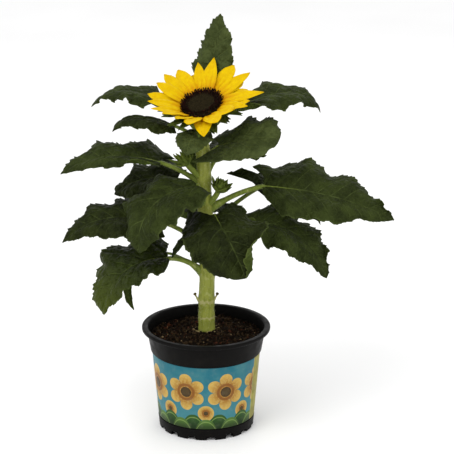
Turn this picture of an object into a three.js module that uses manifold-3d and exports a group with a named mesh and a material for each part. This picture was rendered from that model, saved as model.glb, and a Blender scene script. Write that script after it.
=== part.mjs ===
// A young sunflower in a round nursery pot: one thick stem, twenty stalked leaves, one open
// bloom and two side shoots in bud. Units are millimetres, +Z is up, and the origin is the centre
// of the flat underside of the pot. Angles are in degrees. A leaf's `turn` is its compass
// direction seen from above, from +X towards +Y.
import * as THREE from "three";
import { mergeVertices } from "three/addons/utils/BufferGeometryUtils.js";
import Module from "manifold-3d";

const wasm = await Module();
wasm.setup();

// ---- Driving dimensions -------------------------------------------------------------------

const CLEARANCE = 0.3; // left between two pieces that touch

const POT = {
  height: 109,
  rimRadius: 66.5,
  lipHeight: 4,
  collarTopRadius: 61.2,
  collarBottomRadius: 57.4,
  collarBottom: 83,
  bodyTopRadius: 55.2,
  bodyBottomRadius: 49,
  footTop: 12,
  footRadius: 50.2,
  footBottomRadius: 49,
  wall: 1.8,
  floor: 2,
  channelHeight: 5,
  channelInner: 38,
  channelOuter: 45.4,
  notches: 15,
  notchWidth: 9,
  notchHeight: 3.6,
  drainHoles: 7,
  drainRadius: 2.6,
  segments: 32,
};

const LABEL = { bottom: 13, top: 82, thickness: 0.6 };

const SOIL = { edgeHeight: 98, moundHeight: 103.5, moundRadius: 15, grain: 1.1, segments: 24 };

const STEM = {
  footRadius: 9.8,
  lowRadius: 8.2,
  topRadius: 6.8,
  neckRadius: 8.6,
  swelling: 0.9,
  nodeHeights: [118, 136, 166, 202, 235, 265, 293, 321],
  stubHeight: 136,
  stubLength: 8,
  sides: 12,
  steps: 30,
};

// Where the middle of the stem passes, from the soil up; the bloom's seat carries on from the last.
const STEM_COURSE = [
  [0.5, 0, 103.8],
  [0.3, 0, 133],
  [1.2, 0, 168],
  [0.5, 0.5, 208],
  [-1, 1, 248],
  [-2.5, 1.5, 288],
  [-3.5, 1, 318],
];

const BLOOM = {
  centre: new THREE.Vector3(-3.5, -3, 343.5),
  tiltForward: 24,
  tiltSide: -14,
  discRadius: 21,
  discRise: 5,
  seatRadius: 22,
  seatDepth: 12,
  rayRoot: 21.8,
  rayThickness: 0.8,
  bracts: 14,
  bractLength: 24,
  bractWidth: 10,
  bractDrop: 18,
  liftBlend: 12, // how far round a ray shares its lift with the bracts under it
};

// The ray florets round the bloom: the direction of each, its length, its width, how steeply it
// lifts out of the bloom's plane, and how pointed its tip is.
const RAYS = [
  [-2, 42, 15, 0, 0.8],
  [28, 40, 15, 5, 0.7],
  [47, 37, 17, 11, 0.5],
  [69, 40, 15, 18, 0.8],
  [86, 36, 13, 18, 0.8],
  [109, 35, 15, 18, 0.5],
  [126, 36, 14, 25, 0.5],
  [143, 34, 14, 29, 0.5],
  [161, 36, 14, 26, 0.6],
  [180, 36, 13, 33, 0.7],
  [197, 36, 13, 36, 0.7],
  [214, 32, 14, 38, 0.6],
  [233, 28, 13, 38, 0.6],
  [251, 29, 15, 28, 0.6],
  [268, 34, 16, 8, 0.8],
  [287, 30, 17, 20, 0.5],
  [309, 33, 16, 27, 0.6],
  [329, 33, 12, 11, 0.7],
];

const LEAF_THICKNESS = 1.4;
const MIDRIB_DEPTH = 1.6;
const STALK_SIDES = 6;
const STALK_STEPS = 5;
const MARCH_STEPS = 40; // small steps in which a line grows
const MEAN_DIP = 0.435; // how far a line dips on average, as a share of its droop
const SLIVER = 0.06; // detail finer than this is smoothed away where a stalk is cut

// What a leaf is like unless its own entry says otherwise.
const LEAF_FORM = {
  base: 0.42, tip: 0.8, fold: [12, 12], cup: [-14, -14], curl: [-22, -22], curlFrom: 0.5,
  ruffle: 0.12, waves: 3, uneven: 0.05, teeth: 0.015, lobe: [0.4, 0.4], phase: 0,
};

// Each leaf: the height at which its stalk leaves the stem, its compass direction, its stalk and
// its blade. A blade sets off `turn` further round than its stalk ended. Pairs are for the left
// and the right half, as seen from the stalk.
const LEAVES = [
  { name: "01", height: 161, turn: 187,
    stalk: { length: 40, pitch: 52, droop: 54, swing: 6, thick: 3.1 },
    blade: { length: 99, width: 70, turn: 2, pitch: 8, droop: 100, droopPower: 1.1, swing: 6, roll: -10,
      spread: [0.82, 1.15], lobe: [0, 0.5], base: 0.36, tip: 0.72, phase: 0.4 } },
  { name: "02", height: 192, turn: 170,
    stalk: { length: 45, pitch: 40, droop: 24, swing: 6 },
    blade: { length: 110, width: 72, turn: 8, pitch: 14, droop: 66, droopPower: 1.6, swing: 4, roll: -24,
      spread: [0.9, 1], base: 0.4, tip: 0.95 } },
  { name: "03", height: 207, turn: 288,
    stalk: { length: 33, pitch: 54, droop: 20 },
    blade: { length: 86, width: 88, turn: -2, pitch: -14, droop: 46, swing: 22, roll: 14,
      spread: [0.74, 0.95], lobe: [0.6, 1.0], tip: 0.55, waves: 2.5 } },
  { name: "04", height: 197, turn: 350,
    stalk: { length: 28, pitch: 46, droop: 30 },
    blade: { length: 121, width: 64, turn: 0, pitch: 26, droop: 102, droopPower: 0.9, swing: -9, roll: 22,
      phase: 0.3 } },
  { name: "05", height: 231, turn: 250,
    stalk: { length: 32, pitch: 66, droop: 20, swing: -4 },
    blade: { length: 104, width: 90, turn: -46, pitch: -2, droop: 104, droopPower: 1.4, swing: 24, roll: -6,
      spread: [0.92, 1], lobe: [0.4, 0.2], phase: 0.15 } },
  { name: "06", height: 231, turn: 357,
    stalk: { length: 57, pitch: 36, droop: 24 },
    blade: { length: 138, width: 76, turn: -3, pitch: -3, droop: 24, swing: -2, roll: 32,
      spread: [1.15, 0.95], lobe: [0.5, -0.2], base: 0.4, tip: 0.9, uneven: 0.1, phase: 0.1, waves: 3.5 } },
  { name: "07", height: 209, turn: 26,
    stalk: { length: 62, pitch: 44, droop: 24 },
    blade: { length: 90, width: 74, turn: -4, pitch: -8, droop: 60, roll: 26,
      spread: [1.05, 0.56], lobe: [0.8, -0.1] } },
  { name: "08", height: 241, turn: 148,
    stalk: { length: 30, pitch: 40, droop: 20, swing: 4 },
    blade: { length: 72, width: 64, turn: 12, pitch: 4, droop: 50, swing: 10, roll: -28 } },
  { name: "09", height: 259, turn: 178,
    stalk: { length: 42, pitch: 36, droop: 18 },
    blade: { length: 106, width: 66, turn: 2, pitch: 16, droop: 54, swing: 2, roll: -16,
      spread: [0.62, 1.15], lobe: [0.2, 0.9], uneven: 0.08, phase: 0.2 } },
  { name: "10", height: 283, turn: 312,
    stalk: { length: 21, pitch: 54, droop: 20, swing: 10 },
    blade: { length: 66, width: 66, turn: 18, pitch: 22, droop: 24, swing: 8, roll: 26,
      spread: [1.15, 1.05], lobe: [0.6, 1.35], tip: 0.45, base: 0.5 } },
  { name: "11", height: 277, turn: 102,
    stalk: { length: 18, pitch: 40, droop: 30 },
    blade: { length: 44, width: 32, turn: 0, pitch: -34, droop: 30 } },
  { name: "12", height: 305, turn: 184,
    stalk: { length: 24, pitch: 40, droop: 20 },
    blade: { length: 70, width: 44, turn: 0, pitch: 18, droop: 100, droopPower: 3, roll: 12 } },
  { name: "13", height: 309, turn: 14,
    stalk: { length: 38, pitch: 45, droop: 10 },
    blade: { length: 98, width: 62, turn: -4, pitch: 18, droop: 96, droopPower: 2.6, roll: 9,
      spread: [1.2, 1] } },
  { name: "14", height: 312, turn: 256,
    stalk: { length: 14, pitch: 40, droop: 30 },
    blade: { length: 38, width: 36, turn: -4, pitch: -6, droop: 54, ruffle: 0.06, lobe: [0.2, 0.2] } },
  { name: "15", height: 312, turn: 147,
    stalk: { length: 44, pitch: 42, droop: 20, swing: 6 },
    blade: { length: 86, width: 54, turn: 6, pitch: 18, droop: 76, droopPower: 1.8, swing: 10, roll: -1,
      spread: [1, 1.15] } },
  { name: "16", height: 303, turn: 83,
    stalk: { length: 44, pitch: 40, droop: -14 },
    blade: { length: 87, width: 49, turn: -26, pitch: 73, droop: 0, ruffle: 0.08 } },
  { name: "17", height: 265, turn: 56,
    stalk: { length: 34, pitch: 44, droop: 30, swing: 4 },
    blade: { length: 84, width: 60, turn: 0, pitch: 4, droop: 60, swing: 4 } },
  { name: "18", height: 203, turn: 96,
    stalk: { length: 36, pitch: 36, droop: 30 },
    blade: { length: 88, width: 62, turn: 0, pitch: 0, droop: 60, swing: 6 } },
  { name: "19", height: 179, turn: 199,
    stalk: { length: 29, pitch: 60, droop: 26 },
    blade: { length: 25, width: 13, turn: 10, pitch: -46, droop: 20, ruffle: 0.05, lobe: [0, 0] } },
  { name: "20", height: 153, turn: 146,
    stalk: { length: 94, pitch: 52, droop: 112, swing: 33, thick: 1.4 },
    blade: { length: 46, width: 14, turn: 2, pitch: -76, droop: 46, ruffle: 0.05, lobe: [0, 0], roll: 40 } },
];

// The side shoots, each ending in a closed green bud.
const SIDE_SHOOTS = [
  { name: "left", height: 265, turn: 206, stalk: { length: 18, pitch: 38, droop: -16 } },
  { name: "right", height: 237, turn: 327, stalk: { length: 16, pitch: 38, droop: -26 } },
];

const BUD = {
  radius: 7.6, height: 9, seat: 3.2, bracts: 7, bractRoot: 4.8, bractLift: 2.2, bractLength: 12,
  bractWidth: 7, bractPitch: 40,
};

// ---- Angles, solids and geometry ------------------------------------------------------------

const radians = THREE.MathUtils.degToRad;
const { clamp, lerp, smoothstep } = THREE.MathUtils;

// A closed geometry as a manifold-3d solid, its shared vertices merged.
function solidOf(geometry) {
  const bare = geometry.clone();
  bare.deleteAttribute("normal");
  bare.deleteAttribute("uv");
  const merged = mergeVertices(bare, 1e-3);
  return new wasm.Manifold(
    new wasm.Mesh({
      numProp: 3,
      vertProperties: new Float32Array(merged.attributes.position.array),
      triVerts: new Uint32Array(merged.index.array),
    }),
  );
}

function geometryOf(solid) {
  const mesh = solid.getMesh();
  const geometry = new THREE.BufferGeometry();
  geometry.setAttribute("position", new THREE.BufferAttribute(mesh.vertProperties, 3));
  geometry.setIndex(new THREE.BufferAttribute(mesh.triVerts, 1));
  geometry.computeVertexNormals();
  return geometry;
}

function fuse(geometries) {
  return geometries.map(solidOf).reduce((whole, next) => whole.add(next));
}

// The largest of the separate bodies a cut leaves, without the slivers along the cut.
function biggest(solid) {
  const bodies = solid.simplify(SLIVER).decompose();
  return bodies.reduce((best, next) => (next.volume() > best.volume() ? next : best));
}

// Moves every vertex of a stock geometry to where place(x, y, z) puts it.
function reshape(geometry, place) {
  const position = geometry.attributes.position;
  for (let i = 0; i < position.count; i++) {
    const moved = place(position.getX(i), position.getY(i), position.getZ(i));
    position.setXYZ(i, moved.x, moved.y, moved.z);
  }
  return geometry;
}

// A profile of [radius, height] corners turned about the Z axis.
function turned(profile, segments) {
  const points = profile.map(([radius, height]) => new THREE.Vector2(radius, height));
  return new THREE.LatheGeometry(points, segments).rotateX(Math.PI / 2);
}

// ---- Lines that grow: leaf stalks and midribs ---------------------------------------------------

// Grows a line from `start`. It sets off at compass direction `turn` and climbs at `pitch`; on the
// way it swings round by `swing` and dips by `droop`, most of it late where droopPower is large.
// Each station carries the direction along the line, across it to the right, and up. A positive
// roll lowers the right-hand side.
function grow({ start, turn, pitch, length, swing = 0, droop = 0, droopPower = 1.3, roll = 0, twist = 0 }) {
  const stations = [];
  const point = start.clone();
  for (let i = 0; i <= MARCH_STEPS; i++) {
    const t = i / MARCH_STEPS;
    const heading = radians(turn + swing * t);
    const climb = radians(pitch - droop * t ** droopPower);
    const along = new THREE.Vector3(
      Math.cos(heading) * Math.cos(climb),
      Math.sin(heading) * Math.cos(climb),
      Math.sin(climb),
    );
    const across = new THREE.Vector3(Math.sin(heading), -Math.cos(heading), 0);
    across.applyAxisAngle(along, radians(roll + twist * t));
    const up = new THREE.Vector3().crossVectors(across, along);
    stations.push({ point: point.clone(), along, across, up });
    point.addScaledVector(along, length / MARCH_STEPS);
  }
  return stations;
}

// The same kind of stations along a curve, `across` kept as near as it goes to +X.
function follow(curve) {
  const stations = [];
  for (let i = 0; i <= MARCH_STEPS; i++) {
    const along = curve.getTangentAt(i / MARCH_STEPS);
    const across = new THREE.Vector3(1, 0, 0);
    across.addScaledVector(along, -across.dot(along)).normalize();
    const up = new THREE.Vector3().crossVectors(across, along);
    stations.push({ point: curve.getPointAt(i / MARCH_STEPS), along, across, up });
  }
  return stations;
}

// The station at share t of a line, between its two neighbours.
function stationAt(stations, t) {
  const place = clamp(t, 0, 1) * MARCH_STEPS;
  const before = Math.min(Math.floor(place), MARCH_STEPS - 1);
  const [a, b] = [stations[before], stations[before + 1]];
  const between = (key) => a[key].clone().lerp(b[key], place - before);
  return {
    point: between("point"),
    along: between("along").normalize(),
    across: between("across").normalize(),
    up: between("up").normalize(),
  };
}

// A round limb along a line, its radius a function of the share t of its length.
function limb(stations, radiusAt, sides, steps) {
  const stock = new THREE.CylinderGeometry(1, 1, 1, sides, steps);
  return reshape(stock, (x, y, z) => {
    const t = y + 0.5;
    const { point, across, up } = stationAt(stations, t);
    const radius = radiusAt(t);
    return point.addScaledVector(across, x * radius).addScaledVector(up, z * radius);
  });
}

// ---- Blades: leaves, ray florets and bracts -----------------------------------------------------

// Half the width of a blade at share t of its length, as a share of its greatest half width. The
// blade is broadest at base / (base + tip).
function outlineAt(t, base, tip) {
  const broadest = base / (base + tip);
  return (t / broadest) ** base * ((1 - t) / (1 - broadest)) ** tip;
}

// A flat box to bend a blade from. Above and below, each cell is split from its outer corner at
// the base to its inner corner at the tip, so that the two skins stay clear of each other and the
// lobes don't fold over.
function flatStock(acrossSteps, alongSteps) {
  const stock = new THREE.BoxGeometry(2, 1, 1, acrossSteps, 1, alongSteps);
  const index = stock.index.array;
  for (const [face, rightHalf] of [[2, true], [3, false]]) {
    for (let cell = 0; cell < acrossSteps * alongSteps; cell++) {
      if (cell % acrossSteps >= acrossSteps / 2 !== rightHalf) continue;
      const i = stock.groups[face].start + 6 * cell;
      const [a, b, d, , c] = index.slice(i, i + 6);
      index.set([a, b, c, a, c, d], i);
    }
  }
  return stock;
}

// A thin closed blade over a line. `fold` lifts its left and right halves, `cup` bends each half
// evenly and `curl` bends what lies beyond `curlFrom`. `ruffle` waves the margin up and down,
// `uneven` and `teeth` vary its outline, `spread` widens a half, and `lobe` carries the base back
// past the stalk.
function blade(stations, shape) {
  const {
    width, thickness, rib = 0, base = 0.5, tip = 0.6, fold = [0, 0], cup = [0, 0], curl = [0, 0],
    curlFrom = 0.5, ruffle = 0, waves = 3, uneven = 0, phase = 0, lobe = [0, 0], teeth = 0,
    spread = [1, 1], acrossSteps = 4, alongSteps = 12, least = 0.9,
  } = shape;
  return reshape(flatStock(acrossSteps, alongSteps), (x, y, z) => {
    const row = Math.round((0.5 - z) * alongSteps);
    const t = (row / alongSteps) ** 1.2;
    const side = x < 0 ? 0 : 1;
    const share = Math.abs(x);
    const wave = 2 * Math.PI * (waves * t + phase + 0.37 * side);
    const irregular = 1 + uneven * Math.sin(0.8 * wave + 2) + teeth * (row % 2 ? 1 : -1);
    const half = Math.max(least, spread[side] * (width / 2) * outlineAt(t, base, tip) * irregular);
    const inner = Math.min(share, curlFrom);
    const outer = share - inner;
    const innerBend = radians(fold[side] + (cup[side] * inner) / 2);
    const outerBend = radians(fold[side] + cup[side] * share + curl[side]);
    const sideways = half * (inner * Math.cos(innerBend) + outer * Math.cos(outerBend));
    const lift = half * (inner * Math.sin(innerBend) + outer * Math.sin(outerBend));
    const ruffled = ruffle * half * share ** 2 * Math.sin(wave);
    const back = lobe[side] * (width / 2) * share ** 1.5 * (1 - t) ** 6 * smoothstep(t, 0, 0.06);
    const facing = outer > 0 ? outerBend : innerBend;
    const skin = y > 0 ? thickness / 2 : -thickness / 2 - (x === 0 ? rib * (1 - t) : 0);
    const { point, along, across, up } = stationAt(stations, t);
    return point
      .addScaledVector(across, Math.sign(x) * (sideways - skin * Math.sin(facing)))
      .addScaledVector(up, lift + ruffled + skin * Math.cos(facing))
      .addScaledVector(along, -back);
  });
}

// ---- Pot, label and soil ------------------------------------------------------------------------

const innerWall = (outer) => outer - POT.wall;

function potSolid() {
  const roof = POT.channelHeight + POT.floor;
  const shell = turned([
    [0, 0],
    [POT.channelInner, 0],
    [POT.channelInner, POT.channelHeight],
    [POT.channelOuter, POT.channelHeight],
    [POT.channelOuter, 0],
    [POT.footBottomRadius, 0],
    [POT.footRadius, POT.footTop],
    [POT.bodyBottomRadius, POT.footTop],
    [POT.bodyTopRadius, POT.collarBottom],
    [POT.collarBottomRadius, POT.collarBottom],
    [POT.collarTopRadius, POT.height - POT.lipHeight],
    [POT.rimRadius - 1.2, POT.height - POT.lipHeight],
    [POT.rimRadius, POT.height - POT.lipHeight + 1.5],
    [POT.rimRadius, POT.height - 1.5],
    [POT.rimRadius - 1.5, POT.height],
    [POT.collarTopRadius - 0.6, POT.height],
    [innerWall(POT.collarTopRadius), POT.height - POT.lipHeight],
    [innerWall(POT.collarBottomRadius), POT.collarBottom],
    [innerWall(POT.bodyBottomRadius), roof],
    [POT.channelInner - POT.floor, roof],
    [POT.channelInner - POT.floor, POT.floor],
    [0, POT.floor],
  ], POT.segments);
  let pot = solidOf(shell);
  for (let i = 0; i < POT.notches; i++) {
    const height = POT.notchHeight * (i % 3 === 0 ? 1.4 : 1);
    const notch = new THREE.BoxGeometry(12, POT.notchWidth, 2 * height)
      .translate(POT.channelOuter + 3, 0, 0)
      .rotateZ((2 * Math.PI * (i + 0.5)) / POT.notches);
    pot = pot.subtract(solidOf(notch));
  }
  for (let i = 0; i < POT.drainHoles; i++) {
    const hole = new THREE.CylinderGeometry(POT.drainRadius, POT.drainRadius, 4 * POT.floor, 10)
      .rotateX(Math.PI / 2)
      .translate((POT.channelInner + POT.channelOuter) / 2, 0, roof - POT.floor / 2)
      .rotateZ((2 * Math.PI * i) / POT.drainHoles);
    pot = pot.subtract(solidOf(hole));
  }
  return pot;
}

// The outside of the pot's body, between its foot and its collar.
function bodyRadius(height) {
  const share = (height - POT.footTop) / (POT.collarBottom - POT.footTop);
  return lerp(POT.bodyBottomRadius, POT.bodyTopRadius, share);
}

function labelSolid() {
  const inside = (height) => bodyRadius(height) + CLEARANCE;
  return solidOf(turned([
    [inside(LABEL.bottom), LABEL.bottom],
    [inside(LABEL.bottom) + LABEL.thickness, LABEL.bottom],
    [inside(LABEL.top) + LABEL.thickness, LABEL.top],
    [inside(LABEL.top), LABEL.top],
    [inside(LABEL.bottom), LABEL.bottom],
  ], POT.segments));
}

// A steady, smooth unevenness between about -1 and 1.
function bumps(x, y) {
  return (Math.sin(0.31 * x + 1.7 * Math.sin(0.17 * y)) + Math.cos(0.37 * y + 1.3 * Math.sin(0.23 * x))) / 2;
}

function soilSolid() {
  const roof = POT.channelHeight + POT.floor + CLEARANCE;
  const floor = POT.floor + CLEARANCE;
  const step = POT.channelInner - POT.floor - CLEARANCE;
  const collarInside = innerWall(POT.collarBottomRadius);
  const edgeShare = (SOIL.edgeHeight - POT.collarBottom) / (POT.height - POT.lipHeight - POT.collarBottom);
  const edge = lerp(collarInside, innerWall(POT.collarTopRadius), edgeShare) - CLEARANCE;
  const heightAt = (radius) =>
    lerp(SOIL.moundHeight, SOIL.edgeHeight, smoothstep(radius, SOIL.moundRadius, edge));
  const rings = [0.82, 0.64, 0.47, 0.34].map((share) => [share * edge, heightAt(share * edge)]);
  const mass = turned([
    [0, floor],
    [step, floor],
    [step, roof],
    [innerWall(POT.bodyBottomRadius) - CLEARANCE, roof],
    [collarInside - CLEARANCE, POT.collarBottom],
    [edge, SOIL.edgeHeight],
    ...rings,
    [SOIL.moundRadius, SOIL.moundHeight],
    [0, SOIL.moundHeight],
  ], SOIL.segments);
  return solidOf(reshape(mass, (x, y, z) => {
    const radius = Math.hypot(x, y);
    const open = smoothstep(radius, SOIL.moundRadius, 30);
    const onTop = smoothstep(z, SOIL.edgeHeight - 1, SOIL.edgeHeight);
    return new THREE.Vector3(x, y, z + SOIL.grain * open * onTop * bumps(x, y));
  }));
}

// ---- Bloom --------------------------------------------------------------------------------------

const bloomTilt = new THREE.Matrix4()
  .makeRotationY(radians(BLOOM.tiltSide))
  .multiply(new THREE.Matrix4().makeRotationX(radians(BLOOM.tiltForward)));
const bloomPlace = new THREE.Matrix4().setPosition(BLOOM.centre).multiply(bloomTilt);
const bloomAxis = new THREE.Vector3(0, 0, 1).transformDirection(bloomTilt);

// One floret or bract of the bloom, level with the bloom's own XY plane before it is tilted.
function bloomBlade(angle, root, drop, line, shape) {
  const start = new THREE.Vector3(root, 0, -drop).applyAxisAngle(new THREE.Vector3(0, 0, 1), radians(angle));
  return blade(grow({ start, turn: angle, ...line }), shape);
}

// How steeply the rays near an angle round the bloom lift.
function liftAt(angle) {
  let sum = 0;
  let total = 0;
  for (const [direction, , , lift] of RAYS) {
    const away = THREE.MathUtils.euclideanModulo(angle - direction + 180, 360) - 180;
    const weight = Math.exp(-((away / BLOOM.liftBlend) ** 2));
    sum += weight * lift;
    total += weight;
  }
  return sum / total;
}

function raysSolid() {
  const ring = turned([
    [14, -0.8],
    [BLOOM.rayRoot + 1.4, -0.8],
    [BLOOM.rayRoot + 1.4, 0],
    [14, 0],
    [14, -0.8],
  ], 32);
  const rays = RAYS.map(([angle, length, width, lift, tip], i) => {
    const inner = i % 2;
    const droop = 14 + 8 * Math.sin(3.1 * i);
    const line = { length, pitch: lift + MEAN_DIP * droop, droop, roll: 7 * Math.sin(1.3 * i) };
    return bloomBlade(angle, BLOOM.rayRoot - 0.6 * inner, 0.4 - 0.5 * inner, line, {
      width, thickness: BLOOM.rayThickness, base: 0.55, tip,
      fold: [10, 10], acrossSteps: 2, alongSteps: 4, least: 1.4,
    });
  });
  return fuse([ring, ...rays]).transform(bloomPlace.elements);
}

function bractsSolid() {
  const top = -0.8 - CLEARANCE;
  const seat = turned([
    [0, -BLOOM.seatDepth],
    [STEM.neckRadius, -BLOOM.seatDepth],
    [0.72 * BLOOM.seatRadius, 0.72 * -BLOOM.seatDepth],
    [BLOOM.seatRadius, 0.34 * -BLOOM.seatDepth],
    [BLOOM.seatRadius, top],
    [0, top],
  ], 24);
  const bracts = [];
  for (let i = 0; i < BLOOM.bracts; i++) {
    const angle = (360 * (i + 0.5)) / BLOOM.bracts;
    const line = {
      length: BLOOM.bractLength * (1 + 0.1 * Math.sin(2.2 * i)),
      pitch: liftAt(angle) - BLOOM.bractDrop,
      droop: 6,
    };
    bracts.push(bloomBlade(angle, BLOOM.seatRadius - 2, 3, line, {
      width: BLOOM.bractWidth, thickness: 0.9, base: 0.5, tip: 0.9,
      acrossSteps: 2, alongSteps: 3, least: 0.5,
    }));
  }
  return fuse([seat, ...bracts]).transform(bloomPlace.elements);
}

function discSolid() {
  const dome = turned([
    [0, CLEARANCE],
    [BLOOM.discRadius - 1.2, CLEARANCE],
    [BLOOM.discRadius, 0.45 * BLOOM.discRise],
    [0.8 * BLOOM.discRadius, BLOOM.discRise],
    [0.5 * BLOOM.discRadius, 0.8 * BLOOM.discRise],
    [0, 0.62 * BLOOM.discRise],
  ], 32);
  return solidOf(dome).transform(bloomPlace.elements);
}

// ---- Stem, stalks and leaves --------------------------------------------------------------------

const neckFoot = BLOOM.centre.clone().addScaledVector(bloomAxis, -BLOOM.seatDepth - CLEARANCE);
const stemCurve = new THREE.CatmullRomCurve3([
  ...STEM_COURSE.map((point) => new THREE.Vector3(...point)),
  neckFoot.clone().addScaledVector(bloomAxis, -4),
  neckFoot,
], false, "centripetal");
const stemLine = follow(stemCurve);
const stemFoot = stemLine[0].point.z;
const stemTop = stemLine[MARCH_STEPS].point.z;

function stemShareAt(height) {
  for (let i = 1; i <= MARCH_STEPS; i++) {
    const [low, high] = [stemLine[i - 1].point.z, stemLine[i].point.z];
    if (high >= height) return (i - 1 + (height - low) / (high - low)) / MARCH_STEPS;
  }
  return 1;
}

function stemRadius(t) {
  const height = lerp(stemFoot, stemTop, t);
  const plain = lerp(STEM.lowRadius, STEM.topRadius, smoothstep(t, 0.1, 0.85));
  const flare = (STEM.footRadius - STEM.lowRadius) * (1 - smoothstep(t, 0, 0.06));
  const neck = (STEM.neckRadius - STEM.topRadius) * smoothstep(t, 0.93, 1);
  const swollen = STEM.nodeHeights.reduce(
    (sum, node) => sum + STEM.swelling * Math.exp(-(((height - node) / 5) ** 2)), 0);
  return plain + flare + neck + swollen;
}

// The dried stubs of the two seed leaves, low on the stem.
function stubs() {
  return [200, 345].map((turn) => {
    const heading = radians(turn);
    const start = new THREE.Vector3(Math.cos(heading), Math.sin(heading), 0)
      .multiplyScalar(STEM.lowRadius - 1)
      .setZ(STEM.stubHeight);
    const line = grow({ start, turn, pitch: 40, length: STEM.stubLength, droop: -30 });
    return limb(line, (t) => lerp(1.2, 0.7, t), 5, 2);
  });
}

function stemSolid() {
  return fuse([limb(stemLine, stemRadius, STEM.sides, STEM.steps), ...stubs()]);
}

// The stem with the clearance added all round, to cut the stalks' roots to.
const stemCutter = solidOf(limb(stemLine, (t) => stemRadius(t) + CLEARANCE, STEM.sides, STEM.steps));

function stalkAndBlade({ height, turn, stalk, blade: own }) {
  const root = stationAt(stemLine, stemShareAt(height)).point;
  const stalkLine = grow({ start: root, turn, ...stalk, length: stalk.length + STEM.lowRadius });
  const thick = stalk.thick ?? 1.4 + 0.011 * own.length;
  const stalkRadius = (t) => thick * (lerp(1.15, 0.8, t) + 0.45 * (1 - smoothstep(t, 0.1, 0.45)));
  const end = stalkLine[MARCH_STEPS];
  const start = end.point.clone().addScaledVector(end.along, CLEARANCE);
  const course = { ...own, turn: turn + (stalk.swing ?? 0) + own.turn };
  const bladeLine = grow({ ...course, start });
  const form = { ...LEAF_FORM, ...own, thickness: LEAF_THICKNESS, rib: MIDRIB_DEPTH };
  const back = start.clone().addScaledVector(bladeLine[0].along, -CLEARANCE);
  const cutterLine = grow({ ...course, start: back });
  const cutter = blade(cutterLine, { ...form, thickness: LEAF_THICKNESS + 2.4 * CLEARANCE, least: 1.4 });
  const limbSolid = solidOf(limb(stalkLine, stalkRadius, STALK_SIDES, STALK_STEPS));
  const bladeSolid = solidOf(blade(bladeLine, form));
  return {
    stalk: biggest(limbSolid.subtract(stemCutter).subtract(solidOf(cutter)).subtract(bladeSolid)),
    blade: bladeSolid,
  };
}

// A pointed green bud in a ring of bracts, seated on the end of a side shoot's stalk.
function budSolid({ point, along, across, up }) {
  const body = turned([
    [0, 0],
    [BUD.seat, 0],
    [0.9 * BUD.radius, 0.3 * BUD.height],
    [BUD.radius, 0.6 * BUD.height],
    [0.5 * BUD.radius, BUD.height],
    [0, 0.9 * BUD.height],
  ], 8);
  const bracts = [];
  for (let i = 0; i < BUD.bracts; i++) {
    const angle = (360 * i) / BUD.bracts;
    const start = new THREE.Vector3(BUD.bractRoot, 0, BUD.bractLift);
    start.applyAxisAngle(new THREE.Vector3(0, 0, 1), radians(angle));
    const line = { start, turn: angle, pitch: BUD.bractPitch + 12 * (i % 2), droop: -20 };
    bracts.push(blade(grow({ ...line, length: BUD.bractLength * (1 + 0.15 * Math.sin(2 * i)) }), {
      width: BUD.bractWidth, thickness: 0.8, base: 0.4, tip: 0.9, acrossSteps: 2, alongSteps: 2, least: 0.4,
    }));
  }
  const place = new THREE.Matrix4().makeBasis(across, up.clone().negate(), along)
    .setPosition(point.clone().addScaledVector(along, CLEARANCE));
  return fuse([body, ...bracts]).transform(place.elements);
}

function shootAndBud({ height, turn, stalk }) {
  const root = stationAt(stemLine, stemShareAt(height)).point;
  const line = grow({ start: root, turn, ...stalk, length: stalk.length + STEM.lowRadius });
  return {
    shoot: solidOf(limb(line, (t) => lerp(3.4, 2.7, t), STALK_SIDES, 4)).subtract(stemCutter),
    bud: budSolid(line[MARCH_STEPS]),
  };
}

// ---- The whole plant ----------------------------------------------------------------------------

const group = new THREE.Group();

function addPiece(name, colour, roughness, solid) {
  const material = new THREE.MeshStandardMaterial({ color: colour, roughness });
  const mesh = new THREE.Mesh(geometryOf(solid), material);
  mesh.name = name;
  group.add(mesh);
}

addPiece("pot", 0x1b1b1d, 0.45, potSolid());
addPiece("pot_label", 0x3f93b5, 0.5, labelSolid());
addPiece("soil", 0x2c1d13, 0.95, soilSolid());
addPiece("stem", 0x93a05a, 0.6, stemSolid());
addPiece("bloom_bracts", 0x5c7434, 0.7, bractsSolid());
addPiece("bloom_rays", 0xf0c018, 0.6, raysSolid());
addPiece("bloom_disc", 0x2a1710, 0.85, discSolid());
for (const leaf of LEAVES) {
  const made = stalkAndBlade(leaf);
  addPiece(`stalk_${leaf.name}`, 0x8b9a55, 0.6, made.stalk);
  addPiece(`leaf_${leaf.name}`, 0x33451f, 0.7, made.blade);
}

for (const shoot of SIDE_SHOOTS) {
  const made = shootAndBud(shoot);
  addPiece(`shoot_${shoot.name}`, 0x8b9a55, 0.6, made.shoot);
  addPiece(`bud_${shoot.name}`, 0x5c7434, 0.7, made.bud);
}

export default group;
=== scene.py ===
import math
from itertools import combinations

import bpy
import numpy as np
from mathutils import Color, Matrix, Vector


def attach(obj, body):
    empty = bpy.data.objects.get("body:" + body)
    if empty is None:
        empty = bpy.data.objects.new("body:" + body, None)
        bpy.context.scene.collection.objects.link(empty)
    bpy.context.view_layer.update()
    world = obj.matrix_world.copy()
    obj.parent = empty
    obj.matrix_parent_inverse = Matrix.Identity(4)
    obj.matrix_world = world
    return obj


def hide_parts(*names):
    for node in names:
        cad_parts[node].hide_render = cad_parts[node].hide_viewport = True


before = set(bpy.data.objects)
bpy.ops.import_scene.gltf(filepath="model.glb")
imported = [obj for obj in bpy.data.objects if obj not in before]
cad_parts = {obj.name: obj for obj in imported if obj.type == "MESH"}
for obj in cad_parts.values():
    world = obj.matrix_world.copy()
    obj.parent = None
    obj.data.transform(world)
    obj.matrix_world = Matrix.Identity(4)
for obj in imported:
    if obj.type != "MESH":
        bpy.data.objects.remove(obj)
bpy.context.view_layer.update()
scene = bpy.context.scene
RNG = np.random.default_rng(7)
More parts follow.
